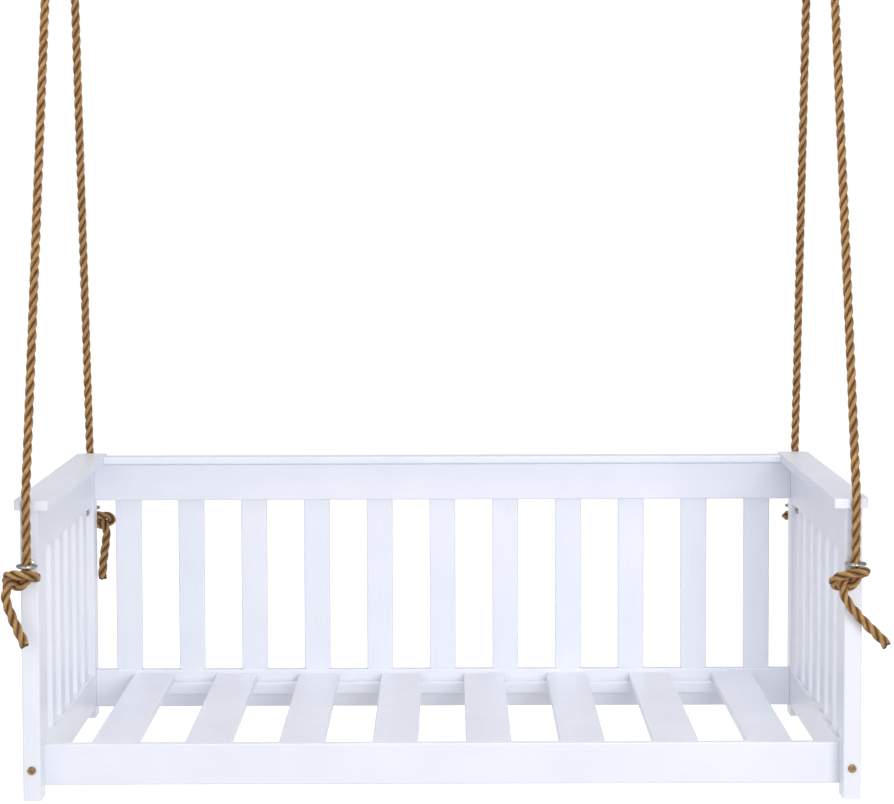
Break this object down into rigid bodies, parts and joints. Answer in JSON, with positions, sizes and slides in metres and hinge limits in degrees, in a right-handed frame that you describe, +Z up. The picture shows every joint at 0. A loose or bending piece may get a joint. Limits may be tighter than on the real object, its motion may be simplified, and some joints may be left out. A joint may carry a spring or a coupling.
{
  "type": "hanging porch swing seat",
  "caption": "White slatted timber porch swing, open at the front, hung by knotted ropes from eye bolts and swinging about ceiling hangers.",
  "frame": {"origin": "on the ceiling plane, midway between the two ceiling hangers, straight above the seat's centre of mass", "axes": "+Z up, out of the ceiling plates; the open front faces -Y; +X to the right seen from the front"},
  "size_m": [1.4743, 0.918, 1.886],
  "materials": {
    "painted_wood": "satin white paint",
    "rope": "three-strand manila",
    "steel": "zinc plated",
    "bronze": "antique bronze"
  },
  "bodies": {
    "hangers": {"ceiling_hanger_left": "steel", "ceiling_hanger_right": "steel"},
    "seat": {"arm_cap_left": "painted_wood", "arm_cap_right": "painted_wood", "back_cap": "painted_wood", "back_ledger": "painted_wood", "back_post_left": "painted_wood", "back_post_right": "painted_wood", "back_slat_1": "painted_wood", "back_slat_10": "painted_wood", "back_slat_11": "painted_wood", "back_slat_2": "painted_wood", "back_slat_3": "painted_wood", "back_slat_4": "painted_wood", "back_slat_5": "painted_wood", "back_slat_6": "painted_wood", "back_slat_7": "painted_wood", "back_slat_8": "painted_wood", "back_slat_9": "painted_wood", "eye_bolt_back_left": "steel", "eye_bolt_back_right": "steel", "eye_bolt_front_left": "steel", "eye_bolt_front_right": "steel", "front_bolt_left": "bronze", "front_bolt_right": "bronze", "front_ledger": "painted_wood", "front_post_left": "painted_wood", "front_post_right": "painted_wood", "front_rail": "painted_wood", "lower_back_rail": "painted_wood", "lower_side_rail_left": "painted_wood", "lower_side_rail_right": "painted_wood", "rope_back_left": "rope", "rope_back_right": "rope", "rope_front_left": "rope", "rope_front_right": "rope", "seat_slat_1": "painted_wood", "seat_slat_2": "painted_wood", "seat_slat_3": "painted_wood", "seat_slat_4": "painted_wood", "seat_slat_5": "painted_wood", "seat_slat_6": "painted_wood", "seat_slat_7": "painted_wood", "seat_slat_8": "painted_wood", "side_slat_left_1": "painted_wood", "side_slat_left_2": "painted_wood", "side_slat_left_3": "painted_wood", "side_slat_left_4": "painted_wood", "side_slat_left_5": "painted_wood", "side_slat_left_6": "painted_wood", "side_slat_right_1": "painted_wood", "side_slat_right_2": "painted_wood", "side_slat_right_3": "painted_wood", "side_slat_right_4": "painted_wood", "side_slat_right_5": "painted_wood", "side_slat_right_6": "painted_wood", "upper_back_rail": "painted_wood", "upper_side_rail_left": "painted_wood", "upper_side_rail_right": "painted_wood"}
  },
  "joints": [
    {"name": "swing", "type": "hinge", "parent": "hangers", "child": "seat", "pos_m": [0, 0, -0.056], "axis": [1, 0, 0], "range_deg": [-20, 20]}
  ]
}
